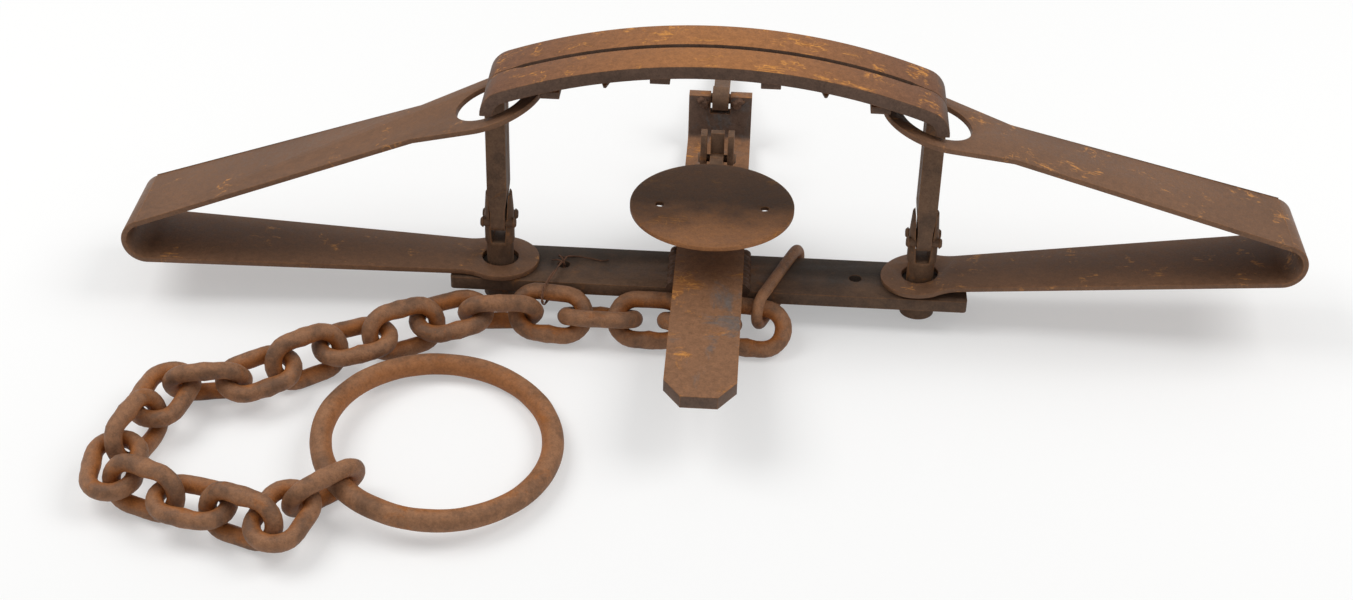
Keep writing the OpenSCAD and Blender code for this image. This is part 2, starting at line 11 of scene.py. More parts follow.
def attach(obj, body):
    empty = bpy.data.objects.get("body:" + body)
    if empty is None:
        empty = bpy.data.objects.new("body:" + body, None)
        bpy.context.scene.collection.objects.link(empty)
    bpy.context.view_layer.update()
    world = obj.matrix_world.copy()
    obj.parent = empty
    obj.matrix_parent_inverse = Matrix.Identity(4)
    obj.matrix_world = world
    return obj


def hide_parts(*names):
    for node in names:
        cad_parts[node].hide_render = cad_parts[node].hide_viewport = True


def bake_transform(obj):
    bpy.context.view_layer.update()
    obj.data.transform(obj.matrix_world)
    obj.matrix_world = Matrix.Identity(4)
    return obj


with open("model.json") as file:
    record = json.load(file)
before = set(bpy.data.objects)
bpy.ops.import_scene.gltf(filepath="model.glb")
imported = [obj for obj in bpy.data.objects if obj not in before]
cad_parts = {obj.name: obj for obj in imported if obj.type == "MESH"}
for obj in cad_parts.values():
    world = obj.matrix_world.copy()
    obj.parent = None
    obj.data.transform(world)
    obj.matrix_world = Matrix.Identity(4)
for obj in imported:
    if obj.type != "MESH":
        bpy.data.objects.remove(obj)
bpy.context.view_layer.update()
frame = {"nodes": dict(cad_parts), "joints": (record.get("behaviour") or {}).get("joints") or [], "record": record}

bl_info = {
    "name": "Leghold trap looks",
    "version": (1, 0, 0),
    "blender": (4, 5, 0),
    "location": "3D View > Sidebar > Trap",
    "description": "Dresses the packed trap with worn, rusted pieces and sets its stage",
    "category": "Object",
}

MM = 0.001
# Width of the photograph in pixels, and of the camera's sensor in millimetres
PHOTO_W = 1353
SENSOR = 36.0
# How close points count as one: in a copied node, in a new piece, and along the springs' seams
WELD_DIST = 0.004 * MM
SAME = 0.01 * MM
SEAM = 0.03 * MM
# How far the end of a new leaf is drawn to the corners of its bend
SNAP = 0.2 * MM
# Faces that turn less than FLAT count as one, and edges that turn more than SHARP are corners
FLAT = radians(0.2)
SHARP = radians(32)
# Seeds of the forging noise, past those of the links, which count from 1
LOOP_SEED, RING_SEED, BLOB_SEED = 40, 50, 60

# Trap frame: X along the base bar, Y to the rear, Z up from the base bar's top face.
# The base bar's hole runs straight down it, which gives the lean of the whole trap on its heel.
HOLE = next(m for m in frame["record"]["mounts"] if m["name"] == "right_base_hole")
BAR_T = HOLE["dims"]["length_mm"] * MM
UP = -Vector(HOLE["axis"]).normalized()
BACK = UP.cross(Vector((1, 0, 0)))
TOP_MIDDLE = Vector(HOLE["pos_m"]) - Vector((HOLE["pos_m"][0], 0, 0)) + UP * (BAR_T / 2)
TRAP = Matrix.Translation(TOP_MIDDLE) @ Matrix((
    (1, BACK.x, UP.x), (0, BACK.y, UP.y), (0, BACK.z, UP.z))).to_4x4()


def linear(code):
    """An sRGB hex colour as linear red, green and blue."""
    parts = [int(code[i:i + 2], 16) / 255 for i in (1, 3, 5)]
    return tuple(c / 12.92 if c <= 0.04045 else ((c + 0.055) / 1.055) ** 2.4 for c in parts)


def tint(name, about, code):
    """A colour property with its default as a hex colour."""
    return bpy.props.FloatVectorProperty(
        name=name, description=about, subtype="COLOR", size=3, min=0, max=1, default=linear(code))


def size(name, about, mm):
    """A length property with its default in millimetres."""
    return bpy.props.FloatProperty(
        name=name, description=about, subtype="DISTANCE", unit="LENGTH", min=0, default=mm * MM)


class TrapFinish(bpy.types.PropertyGroup):
    brown: tint("Brown rust", "Settled rust over the whole trap", "#775440")
    dark: tint("Dark scale", "Mill scale and old oil left on the steel", "#43342b")
    # Darker than the jaws' upper faces partly as scale, partly as painted shade on the sides
    scale: tint("Jaw sides", "Brown scale on the sides of the jaws", "#655044")
    orange: tint("Orange rust", "Fresh rust in patches", "#a2672f")
    score: tint("Scored rust", "Light rust along scratches", "#c98a48")
    # Partly aged rust, partly painted top light on the jaws' upper faces
    jaw: tint("Jaw rust", "Orange-brown rust on the jaws' upper faces", "#a06c43")
    sheet: tint("Pan rust", "Warm rust on the front of the pan", "#9d6c46")
    # Partly rust, partly painted top light on the cross bar's upper faces
    cross: tint("Cross bar rust", "Lighter rust on the cross bar", "#876146")
    strip: tint("Spring rust", "Even brown rust on the springs", "#77563f")
    slate: tint("Bare steel", "Grey-blue steel where the rust is rubbed off", "#5b5f60")
    bar: tint("Bar scale", "Dark, oily scale on the base bar", "#6d5340")
    grease: tint("Old grease", "Grey-brown grease over the bars", "#353431")
    # Painted shadow of the jaws, laid over the pan's rear half
    pan_shadow: tint("Painted pan shadow", "Painted shadow of the jaws on the pan's rear half", "#33271f")
    inner: tint("Settled rust", "Orange rust inside the links and the ring", "#9c5d28")
    bead: tint("Weld rust", "Brown rust on the weld beads", "#654a3a")
    chain: tint("Chain rust", "Mottled rust on the chain", "#936849")
    ring: tint("Ring rust", "Smoother rust on the ring", "#946a4c")


class TrapSizes(bpy.types.PropertyGroup):
    bar_round: size("Bar rounding", "Worn corners of the flat bars", 0.9)
    strip_round: size("Strip rounding", "Worn corners of the spring strip", 0.6)
    small_round: size("Small rounding", "Worn corners of the small pieces", 0.5)
    bar: size("Bar width", "Width of the base bar and of the cross bar", 50.8)
    strap: size("Jaw strap", "Thickness of the jaws' flat bar", 9.5)
    arch: size("Arch", "Radius of the jaws' arch", 440)
    shoulder: size("Shoulder", "Outer radius of the jaws' shoulders", 20)
    bow_gap: size("Bow gap", "How far each shut bow stands back from its ends", 2.1)
    bow_meet: size("Bow ends", "Length of each bow end that meets the other", 23)
    bend: size("Spring bend", "Radius of the springs' bend", 15.5)
    eye: size("Upper eye", "Outer diameter of the springs' upper eyes", 80)
    eye_hole: size("Eye hole", "Diameter of the hole in the upper eyes", 53)
    left_eye_out: size("Left eye offset", "How far the left upper eye's middle lies outside its post", 4.5)
    right_eye_out: size("Right eye offset", "How far the right upper eye's middle lies outside its post", 1)
    eye_low: size("Eye drop", "How far the upper eyes hang below the CAD ones", 1.6)
    neck: size("Upper neck", "Width of the strip behind the upper eyes", 52)
    neck_at: size("Neck place", "Distance of the neck from the upper eye's middle", 58)
    lump: size("Forging lumps", "Unevenness of the forged wire", 0.35)
    knob: size("Weld knob", "Height of the weld on each chain link", 1.1)
    strand: size("Tie strand", "Diameter of each strand of the tie wire", 1.1)
    tooth_share: bpy.props.FloatProperty(
        name="Tooth depth", description="Depth of the teeth as a share of the CAD ones",
        min=0.1, max=1, default=0.78)


class TrapStage(bpy.types.PropertyGroup):
    focal_px: bpy.props.FloatProperty(
        name="Focal length", description="Focal length in pixels of the photograph", default=2134.45)
    raise_px: bpy.props.FloatProperty(
        name="Raise", description="Height of the view's middle in pixels of the photograph", default=35.3)
    turn: bpy.props.FloatProperty(
        name="Turn", description="Camera's turn to the right", subtype="ANGLE", default=radians(2.2))
    lift: bpy.props.FloatProperty(
        name="Lift", description="Camera's height as an angle", subtype="ANGLE", default=radians(33.98))
    roll: bpy.props.FloatProperty(
        name="Roll", description="Camera's tilt about its own axis", subtype="ANGLE", default=radians(1.6))
    far: size("Distance", "Camera's distance from what it looks at", 1523)
    aim: bpy.props.FloatVectorProperty(
        name="Aim", description="Point on the base bar's top plane that the camera looks at", size=3,
        subtype="TRANSLATION", unit="LENGTH", default=(-19.76 * MM, -87.48 * MM, 0))
    lamp: bpy.props.FloatProperty(
        name="Lamp", description="Power of each softbox in watts", min=0, default=17.5)
    lamp_wide: size("Softbox", "Width of each softbox", 1200)
    lamp_at: bpy.props.FloatVectorProperty(
        name="Softbox place", description="Place of the right softbox, which the left one mirrors", size=3,
        subtype="TRANSLATION", unit="LENGTH", default=(1.25, 0.15, 1.7))
    sky: bpy.props.FloatProperty(
        name="Sky", description="Level of the even light from all round", min=0, default=0.45)
    floor: tint("Floor", "Pale studio floor", "#fbfbfa")
    floor_half: size("Floor half", "Half the width of the floor", 20000)
    floor_drop: size("Floor drop", "How far the floor lies below the trap's ground level", 0.2)
    glow: bpy.props.FloatProperty(
        name="Floor white", description="Share of plain white in what the camera sees of the floor",
        min=0, max=1, default=0.35)


def add(tree, kind, settings=(), links=()):
    """Adds a node, sets its fields or sockets, and links other nodes' sockets into it."""
    made = tree.nodes.new(kind)
    for key, value in dict(settings).items():
        if isinstance(key, str) and hasattr(made, key):
            setattr(made, key, value)
        else:
            made.inputs[key].default_value = value
    for key, source in dict(links).items():
        tree.links.new(source, made.inputs[key])
    return made


def rust(name, coat, deep, fresh, looks):
    """Rusted mild steel: an old coat with oil in it over darker scale, fresh orange patches, scores and worn
    edges.

    Rust is an oxide, so the shader stays non-metallic. looks gives sizes in millimetres, turns in degrees
    and shares from 0 to 1 for one finish."""
    material = bpy.data.materials.get(name)
    if material:
        return material
    material = bpy.data.materials.new(name)
    material.use_nodes = True
    tree = material.node_tree
    shader = tree.nodes["Principled BSDF"]
    place = add(tree, "ShaderNodeTexCoord")
    spot = place.outputs["Object"]
    cloud = add(tree, "ShaderNodeTexNoise", {
        "Scale": 1 / (looks["cloud"] * MM), "Detail": 5.0, "Roughness": 0.6, "Distortion": 0.3},
        {"Vector": spot})
    # The blooms are read aside from the clouds, so that the two don't fall together
    aside = add(tree, "ShaderNodeMapping", {"Location": (0.37, 0.21, 0.13)}, {"Vector": spot})
    bloom = add(tree, "ShaderNodeTexNoise", {
        "Scale": 1 / (looks["bloom"] * MM), "Detail": 6.0, "Roughness": 0.68, "Distortion": 0.6},
        {"Vector": aside.outputs["Vector"]})
    mottle = add(tree, "ShaderNodeTexNoise", {
        "Scale": 1 / (looks["mottle"] * MM), "Detail": 4.0, "Roughness": 0.6}, {"Vector": spot})
    grit = add(tree, "ShaderNodeTexNoise", {
        "Scale": 1 / (looks["grit"] * MM), "Detail": 3.0, "Roughness": 0.7}, {"Vector": spot})

    # Darker scale lies under the coat in soft clouds
    scale = add(tree, "ShaderNodeMapRange", {
        "From Min": 0.4, "From Max": 0.68, "To Max": looks["dark"], "interpolation_type": "SMOOTHSTEP"},
        {"Value": cloud.outputs["Fac"]})
    base = add(tree, "ShaderNodeMix", {"data_type": "RGBA", 6: (*coat, 1), 7: (*deep, 1)},
               {0: scale.outputs["Result"]})
    colour = base.outputs[2]

    # Faces that look up get a lighter, warmer rust, most of all near the middle of the trap: partly aged rust,
    # partly painted top light that leaves the sides darker as painted shade
    if looks.get("top"):
        facing = add(tree, "ShaderNodeSeparateXYZ", {}, {0: place.outputs["Normal"]})
        upward = add(tree, "ShaderNodeMapRange", {
            "From Min": 0.45, "From Max": 0.9, "To Max": looks["top"], "interpolation_type": "SMOOTHSTEP"},
            {"Value": facing.outputs["Z"]})
        along = add(tree, "ShaderNodeSeparateXYZ", {}, {0: spot})
        out = add(tree, "ShaderNodeMath", {"operation": "ABSOLUTE"}, {0: along.outputs["X"]})
        warm = add(tree, "ShaderNodeMapRange", {
            "From Min": looks["warm"] * MM, "From Max": looks["cool"] * MM}, {"Value": out.outputs["Value"]})
        aged_and_lit_top = add(tree, "ShaderNodeMix", {
            "data_type": "RGBA", 6: (*looks["warm_tint"], 1), 7: (*looks["cool_tint"], 1)},
            {0: warm.outputs["Result"]})
        topped = add(tree, "ShaderNodeMix", {"data_type": "RGBA"}, {
            0: upward.outputs["Result"], 6: colour, 7: aged_and_lit_top.outputs[2]})
        colour = topped.outputs[2]

    # Fresh rust blooms in patches, on a weathered piece only where it looks up
    blooms = add(tree, "ShaderNodeMapRange", {
        "From Min": 0.66 - looks["fresh"] * 0.2, "From Max": 0.8 - looks["fresh"] * 0.2,
        "To Max": looks["fresh_level"], "interpolation_type": "SMOOTHSTEP"}, {"Value": bloom.outputs["Fac"]})
    bloomed = blooms.outputs["Result"]
    if looks.get("top"):
        open_side = add(tree, "ShaderNodeMath", {"operation": "MULTIPLY"}, {
            0: bloomed, 1: upward.outputs["Result"]})
        bloomed = open_side.outputs["Value"]
    rusty = add(tree, "ShaderNodeMix", {"data_type": "RGBA", 7: (*fresh, 1)}, {0: bloomed, 6: colour})
    colour = rusty.outputs[2]

    # Orange rust stays on the inner side of a link, where nothing rubs it
    if looks.get("crevice"):
        inner = add(tree, "ShaderNodeAttribute", {"attribute_name": "crevice"})
        uneven = add(tree, "ShaderNodeMath", {"operation": "ADD"}, {
            0: inner.outputs["Fac"], 1: bloom.outputs["Fac"]})
        held = add(tree, "ShaderNodeMapRange", {
            "From Min": 0.85, "From Max": 1.45, "To Max": looks["crevice"],
            "interpolation_type": "SMOOTHSTEP"}, {"Value": uneven.outputs["Value"]})
        settled = add(tree, "ShaderNodeMix", {"data_type": "RGBA", 7: (*fresh, 1)}, {
            0: held.outputs["Result"], 6: colour})
        colour = settled.outputs[2]

    # Rubbed patches where grey steel shows through
    if looks.get("bare"):
        rub = add(tree, "ShaderNodeTexNoise", {
            "Scale": 1 / (looks["bare_size"] * MM), "Detail": 5.0, "Roughness": 0.7, "Distortion": 0.8},
            {"Vector": spot})
        bared = add(tree, "ShaderNodeMapRange", {
            "From Min": 0.52, "From Max": 0.68, "To Max": looks["bare"], "interpolation_type": "SMOOTHSTEP"},
            {"Value": rub.outputs["Fac"]})
        rubbed = add(tree, "ShaderNodeMix", {"data_type": "RGBA", 7: (*looks["bare_tint"], 1)}, {
            0: bared.outputs["Result"], 6: colour})
        colour = rubbed.outputs[2]

    # Scores in clusters, rusted a light orange: wandering scrapes, and straight scratches across them
    if looks.get("scores"):
        where = add(tree, "ShaderNodeMapRange", {
            "From Min": looks["score_from"], "From Max": looks["score_from"] + 0.08,
            "To Max": looks["score"]}, {"Value": bloom.outputs["Fac"]})
        marked = where.outputs["Result"]
        if looks.get("top"):
            trodden = add(tree, "ShaderNodeMath", {"operation": "MULTIPLY"}, {
                0: marked, 1: upward.outputs["Result"]})
            marked = trodden.outputs["Value"]
        wander = add(tree, "ShaderNodeTexNoise", {
            "Scale": 1 / (looks["scrape"] * MM), "Detail": 2.0, "Roughness": 0.55, "Distortion": 0.4},
            {"Vector": aside.outputs["Vector"]})
        off = add(tree, "ShaderNodeMath", {"operation": "SUBTRACT", 1: 0.5}, {0: wander.outputs["Fac"]})
        near = add(tree, "ShaderNodeMath", {"operation": "ABSOLUTE"}, {0: off.outputs["Value"]})
        lines = [add(tree, "ShaderNodeMapRange", {"From Min": 0.03, "From Max": 0.008},
                     {"Value": near.outputs["Value"]})]
        along_it, across_it = (1 / (mm * MM) for mm in looks["stroke"])
        for turn in looks["scores"]:
            drawn = add(tree, "ShaderNodeMapping", {
                "Rotation": (0, 0, radians(turn)), "Scale": (along_it, across_it, across_it)},
                {"Vector": spot})
            stroke = add(tree, "ShaderNodeTexNoise", {"Scale": 1.0, "Detail": 0.0, "Distortion": 0.3},
                         {"Vector": drawn.outputs["Vector"]})
            lines.append(add(tree, "ShaderNodeMapRange", {"From Min": 0.66, "From Max": 0.72},
                             {"Value": stroke.outputs["Fac"]}))
        for line in lines:
            cut = add(tree, "ShaderNodeMath", {"operation": "MULTIPLY"}, {
                0: line.outputs["Result"], 1: marked})
            scored = add(tree, "ShaderNodeMix", {"data_type": "RGBA", 7: (*looks["score_tint"], 1)}, {
                0: cut.outputs["Value"], 6: colour})
            colour = scored.outputs[2]

    # Grease darkens the rear of the base bar, and a painted shadow of the jaws darkens the rear half of the pan,
    # each with a soft uneven edge
    if looks.get("grease_and_painted_shade"):
        begins, full, share = looks["grease_and_painted_shade"]
        run = add(tree, "ShaderNodeSeparateXYZ", {}, {0: spot})
        wavy = add(tree, "ShaderNodeMath", {"operation": "MULTIPLY_ADD", 1: looks["grease_and_shade_wave"] * MM}, {
            0: cloud.outputs["Fac"], 2: run.outputs["Y"]})
        grease_and_shade_share = add(tree, "ShaderNodeMapRange", {
            "From Min": begins * MM, "From Max": full * MM, "To Max": share,
            "interpolation_type": "SMOOTHSTEP"}, {"Value": wavy.outputs["Value"]})
        grease_and_shade_mix = add(tree, "ShaderNodeMix", {"data_type": "RGBA", 7: (*looks["grease_and_shade_tint"], 1)}, {
            0: grease_and_shade_share.outputs["Result"], 6: colour})
        colour = grease_and_shade_mix.outputs[2]

    # Worn edges: where the rounded normal leaves the true one, the coat is rubbed lighter
    if looks.get("edge"):
        soft = add(tree, "ShaderNodeBevel", {"samples": 4, "Radius": looks["edge_width"] * MM})
        true = add(tree, "ShaderNodeNewGeometry")
        agree = add(tree, "ShaderNodeVectorMath", {"operation": "DOT_PRODUCT"}, {
            0: soft.outputs["Normal"], 1: true.outputs["Normal"]})
        turned = add(tree, "ShaderNodeMapRange", {
            "From Min": 0.985, "From Max": 0.86, "To Max": looks["edge"]}, {"Value": agree.outputs["Value"]})
        ragged = add(tree, "ShaderNodeMath", {"operation": "MULTIPLY", "use_clamp": True}, {
            0: turned.outputs["Result"], 1: mottle.outputs["Fac"]})
        worn = add(tree, "ShaderNodeMix", {"data_type": "RGBA", 7: (*looks["edge_tint"], 1)}, {
            0: ragged.outputs["Value"], 6: colour})
        colour = worn.outputs[2]

    # Fine flecks over everything, lighter and darker
    flecks = add(tree, "ShaderNodeMath", {"operation": "ADD"}, {
        0: mottle.outputs["Fac"], 1: grit.outputs["Fac"]})
    level = add(tree, "ShaderNodeMapRange", {
        "From Min": 0.7, "From Max": 1.3, "To Min": 1 - looks["contrast"], "To Max": 1 + looks["contrast"]},
        {"Value": flecks.outputs["Value"]})
    flecked = add(tree, "ShaderNodeMix", {"data_type": "RGBA", "blend_type": "MULTIPLY", 0: 1.0}, {
        6: colour, 7: level.outputs["Result"]})
    gloss = add(tree, "ShaderNodeMapRange", {
        "From Min": 0.3, "From Max": 0.7, "To Min": looks["rough"] - 0.08, "To Max": looks["rough"] + 0.12},
        {"Value": mottle.outputs["Fac"]})
    pits = add(tree, "ShaderNodeBump", {
        "Strength": looks["pit"], "Distance": looks["pit_depth"] * MM}, {"Height": grit.outputs["Fac"]})
    swells = add(tree, "ShaderNodeBump", {
        "Strength": looks["swell"], "Distance": looks["swell_depth"] * MM}, {
        "Height": mottle.outputs["Fac"], "Normal": pits.outputs["Normal"]})
    tree.links.new(flecked.outputs[2], shader.inputs["Base Color"])
    tree.links.new(gloss.outputs["Result"], shader.inputs["Roughness"])
    tree.links.new(swells.outputs["Normal"], shader.inputs["Normal"])
    shader.inputs["Specular IOR Level"].default_value = looks["shine"]
    return material


def finish_named(scene, name):
    """The finish of one group of pieces, from the colours in the panel."""
    c = scene.trap_finish
    common = {
        "cloud": 60, "bloom": 45, "mottle": 4.5, "grit": 1.4, "dark": 0.55, "contrast": 0.26, "fresh": 0.5,
        "fresh_level": 0.4, "rough": 0.6, "shine": 0.2, "pit": 0.45, "pit_depth": 0.3, "swell": 0.25,
        "swell_depth": 0.5, "edge": 0.7, "edge_width": 1.5, "edge_tint": c.orange, "score": 0.7,
        "score_tint": c.score, "score_from": 0.58, "scrape": 13, "stroke": (24, 2), "grease_and_shade_wave": 60}
    finishes = {
        # Hot-rolled flat bar, dark with oily scale and dull, with rubbed corners
        "rusted_flat_bar": (c.bar, c.dark, c.orange, {
            **common, "dark": 0.7, "bare": 0.35, "bare_size": 40, "bare_tint": c.dark, "edge": 0.6,
            "grease_and_painted_shade": (16, 48, 0.6), "grease_and_shade_tint": c.grease}),
        # The same bar, handled more: one lighter rust all over its top, partly rust and partly painted top light,
        # slate grey where it is rubbed
        "rubbed_cross_bar": (c.scale, c.dark, c.orange, {
            **common, "top": 1.0, "warm": 400, "cool": 500, "warm_tint": c.cross, "cool_tint": c.cross,
            "cloud": 34, "bloom": 26, "dark": 0.4, "bare": 0.7, "bare_size": 40, "bare_tint": c.slate,
            "edge": 0.9, "fresh": 0.62, "fresh_level": 0.5, "scores": (35, -70), "score": 0.6,
            "score_from": 0.55}),
        # Bent strap, orange on top and dark below, partly aged rust and partly painted top light and side shade,
        # scored by use
        "scored_jaw_strap": (c.scale, c.dark, c.orange, {
            **common, "top": 0.95, "warm": 20, "cool": 150, "warm_tint": c.jaw, "cool_tint": c.brown,
            "bloom": 30, "dark": 0.4, "edge": 0.55, "fresh": 0.45, "fresh_level": 0.5, "shine": 0.12,
            "scores": (12, -38, 65), "score": 0.85, "score_from": 0.54}),
        # Tempered spring strip: even brown with a slight sheen
        "tempered_strip": (c.strip, c.dark, c.orange, {
            **common, "cloud": 120, "bloom": 32, "dark": 0.22, "contrast": 0.22, "edge": 0.5, "fresh": 0.2,
            "fresh_level": 0.3, "rough": 0.5, "shine": 0.25, "scores": (25, -30), "score": 0.65,
            "score_from": 0.575}),
        # Pressed sheet: warm brown in front, a painted shadow of the jaws over its rear half, orange patches
        "pressed_sheet": (c.sheet, c.brown, c.orange, {
            **common, "cloud": 50, "bloom": 24, "dark": 0.4, "fresh": 0.55, "fresh_level": 0.6, "rough": 0.52,
            "grease_and_painted_shade": (14, 62, 0.85), "grease_and_shade_tint": c.pan_shadow, "scores": (20, -50), "score": 0.6,
            "score_from": 0.55}),
        # Forged round bar, scaled and mottled: orange settled in the crevices
        "forged_chain": (c.chain, c.dark, c.inner, {
            **common, "cloud": 18, "bloom": 16, "mottle": 4, "grit": 1.1, "contrast": 0.28, "fresh": 0.55,
            "fresh_level": 0.5, "rough": 0.52, "shine": 0.3, "pit": 0.9, "pit_depth": 0.5, "swell": 0.7,
            "swell_depth": 0.7, "edge": 0.0, "crevice": 0.85}),
        # Bent and welded round bar, rubbed smoother than the chain
        "ring_bar": (c.ring, c.dark, c.inner, {
            **common, "cloud": 26, "bloom": 24, "mottle": 3.6, "dark": 0.5, "fresh": 0.6, "fresh_level": 0.55,
            "edge": 0.0, "crevice": 0.5}),
        # Stick weld with its slag knocked off: lumpy brown
        "weld_slag": (c.bead, c.dark, c.orange, {
            **common, "cloud": 12, "bloom": 14, "mottle": 3, "contrast": 0.25, "rough": 0.66, "edge": 0.0}),
        # Forged round posts and pins, rusted dark
        "forged_post": (c.bar, c.dark, c.orange, {
            **common, "cloud": 24, "bloom": 20, "mottle": 5, "dark": 0.6, "edge": 0.6}),
        # Soft annealed wire, dull brown
        "annealed_wire": (c.brown, c.dark, c.orange, {
            **common, "cloud": 14, "bloom": 10, "mottle": 2.5, "grit": 0.7, "rough": 0.66, "edge": 0.0}),
    }
    return rust(name, *finishes[name])


def keep_mesh(work, name):
    """Turns a worked bmesh into an object at the origin, with its faces pointing out."""
    bmesh.ops.recalc_face_normals(work, faces=work.faces)
    for face in work.faces:
        face.smooth = True
    for edge in work.edges:
        edge.smooth = not edge.is_manifold or edge.calc_face_angle() < SHARP
    mesh = bpy.data.meshes.new(name)
    work.to_mesh(mesh)
    work.free()
    piece = bpy.data.objects.new(name, mesh)
    bpy.context.scene.collection.objects.link(piece)
    return piece


def dress(piece, finish, body, slot, *nodes):
    """Gives a piece its finish and body, and hides the CAD nodes that it stands for; slot is not used."""
    piece.data.materials.append(finish_named(bpy.context.scene, finish))
    if body:
        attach(piece, body)
    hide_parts(*nodes)


def merged_copy(node):
    """A bmesh of a CAD node with its loose triangles joined."""
    work = bmesh.new()
    work.from_mesh(frame["nodes"][node].data)
    bmesh.ops.remove_doubles(work, verts=work.verts, dist=WELD_DIST)
    return work


def take_in(work, other):
    """Adds another bmesh to a worked one, and frees it."""
    part = bpy.data.meshes.new("part")
    other.to_mesh(part)
    other.free()
    work.from_mesh(part)
    bpy.data.meshes.remove(part)


def flatten(work):
    """Joins the triangles of each flat face of a merged copy."""
    bmesh.ops.dissolve_limit(
        work, angle_limit=FLAT, verts=work.verts, edges=work.edges, use_dissolve_boundaries=False)


def round_corners(work, width):
    """Wears the sharp corners of a worked mesh round."""
    sharp = [e for e in work.edges if e.is_manifold and e.calc_face_angle() > SHARP]
    bmesh.ops.bevel(
        work, geom=sharp, offset=width, offset_type="OFFSET", segments=2, profile=0.5,
        affect="EDGES", clamp_overlap=True, material=-1)


def worn_copies(rows, width):
    """Worn copies of CAD nodes, one row of node, finish, body and slot each."""
    for node, finish, body, slot in rows:
        work = merged_copy(node)
        flatten(work)
        round_corners(work, width)
        dress(keep_mesh(work, node + "_worn"), finish, body, slot, node)


def photo_camera(stage):
    """A camera at the photograph's angle, placed in the trap's own frame."""
    data = bpy.data.cameras.new("photo_camera")
    data.sensor_width = SENSOR
    data.lens = stage.focal_px * SENSOR / PHOTO_W
    data.shift_y = stage.raise_px / PHOTO_W
    data.clip_end = 50
    turn, lift, roll = stage.turn, stage.lift, stage.roll
    away = Vector((sin(turn) * cos(lift), -cos(turn) * cos(lift), sin(lift)))
    side = Vector((cos(turn), sin(turn), 0))
    over = away.cross(side)
    right = side * cos(roll) + over * sin(roll)
    above = over * cos(roll) - side * sin(roll)
    place = Matrix((right, above, away)).transposed().to_4x4()
    place.translation = away * stage.far + Vector(stage.aim)
    camera = bpy.data.objects.new("photo_camera", data)
    camera.matrix_world = TRAP @ place
    return camera


def studio_paper(stage):
    """Matt pale paper that looks whiter than it is lit, and keeps the trap's shadow."""
    paper = bpy.data.materials.new("studio_paper")
    paper.use_nodes = True
    tree = paper.node_tree
    shader = tree.nodes["Principled BSDF"]
    shader.inputs["Base Color"].default_value = (*stage.floor, 1)
    shader.inputs["Roughness"].default_value = 0.9
    shader.inputs["Specular IOR Level"].default_value = 0.1
    rays = add(tree, "ShaderNodeLightPath")
    seen = add(tree, "ShaderNodeMath", {"operation": "MAXIMUM"}, {
        0: rays.outputs["Is Camera Ray"], 1: rays.outputs["Is Glossy Ray"]})
    shown = add(tree, "ShaderNodeMath", {"operation": "MAXIMUM"}, {
        0: seen.outputs["Value"], 1: rays.outputs["Is Transmission Ray"]})
    share = add(tree, "ShaderNodeMath", {"operation": "MULTIPLY", 1: stage.glow}, {
        0: shown.outputs["Value"]})
    white = add(tree, "ShaderNodeEmission", {"Strength": 1.0})
    mixed = add(tree, "ShaderNodeMixShader", {}, {
        0: share.outputs["Value"], 1: shader.outputs["BSDF"], 2: white.outputs["Emission"]})
    tree.links.new(mixed.outputs["Shader"], tree.nodes["Material Output"].inputs["Surface"])
    return paper


class TRAP_OT_stage(bpy.types.Operator):
    """Pale floor, soft light and the camera at the photograph's angle"""
    bl_idname = "trap.stage"
    bl_label = "Stage"

    def execute(self, context):
        scene = context.scene
        stage = scene.trap_stage
        scene.view_settings.view_transform = "Standard"
        scene.camera = photo_camera(stage)
        scene.collection.objects.link(scene.camera)

        work = bmesh.new()
        bmesh.ops.create_grid(work, x_segments=1, y_segments=1, size=stage.floor_half)
        floor = keep_mesh(work, "studio_floor")
        floor.location.z = -stage.floor_drop
        floor.data.materials.append(studio_paper(stage))

        world = bpy.data.worlds.new("studio_sky")
        world.use_nodes = True
        sky = world.node_tree.nodes["Background"]
        sky.inputs["Color"].default_value = (1, 1, 1, 1)
        sky.inputs["Strength"].default_value = stage.sky
        scene.world = world
        for name, side in (("left_softbox", -1), ("right_softbox", 1)):
            light = bpy.data.lights.new(name, "AREA")
            light.size = stage.lamp_wide
            light.energy = stage.lamp
            lamp = bpy.data.objects.new(name, light)
            lamp.location = (side * stage.lamp_at[0], stage.lamp_at[1], stage.lamp_at[2])
            lamp.rotation_euler = (lamp.location * -1).to_track_quat("-Z", "Y").to_euler()
            scene.collection.objects.link(lamp)
        return {"FINISHED"}


class TRAP_OT_frame_bars(bpy.types.Operator):
    """Base bar, cross bar and the posts, with worn corners"""
    bl_idname = "trap.frame_bars"
    bl_label = "Frame bars"

    def execute(self, context):
        sizes = context.scene.trap_sizes
        worn_copies([
            ("base_bar", "rusted_flat_bar", "frame", "bar_steel"),
            ("cross_bar", "rubbed_cross_bar", "frame", "cross_steel")], sizes.bar_round)
        worn_copies([
            ("left_post", "forged_post", "frame", "bar_steel"),
            ("right_post", "forged_post", "frame", "bar_steel"),
            ("jaw_pins", "forged_post", "frame", "pin_steel"),
            ("pan_ears", "forged_post", "frame", "bar_steel"),
            ("pan_pin", "forged_post", "frame", "pin_steel"),
            ("dog_pin", "forged_post", "frame", "pin_steel")], sizes.small_round)
        return {"FINISHED"}


def trap_box(node):
    """Lowest and highest corner of a CAD node in the trap's own frame."""
    spots = [TRAP.inverted() @ v.co for v in frame["nodes"][node].data.vertices]
    return (Vector([min(p[i] for p in spots) for i in range(3)]),
            Vector([max(p[i] for p in spots) for i in range(3)]))


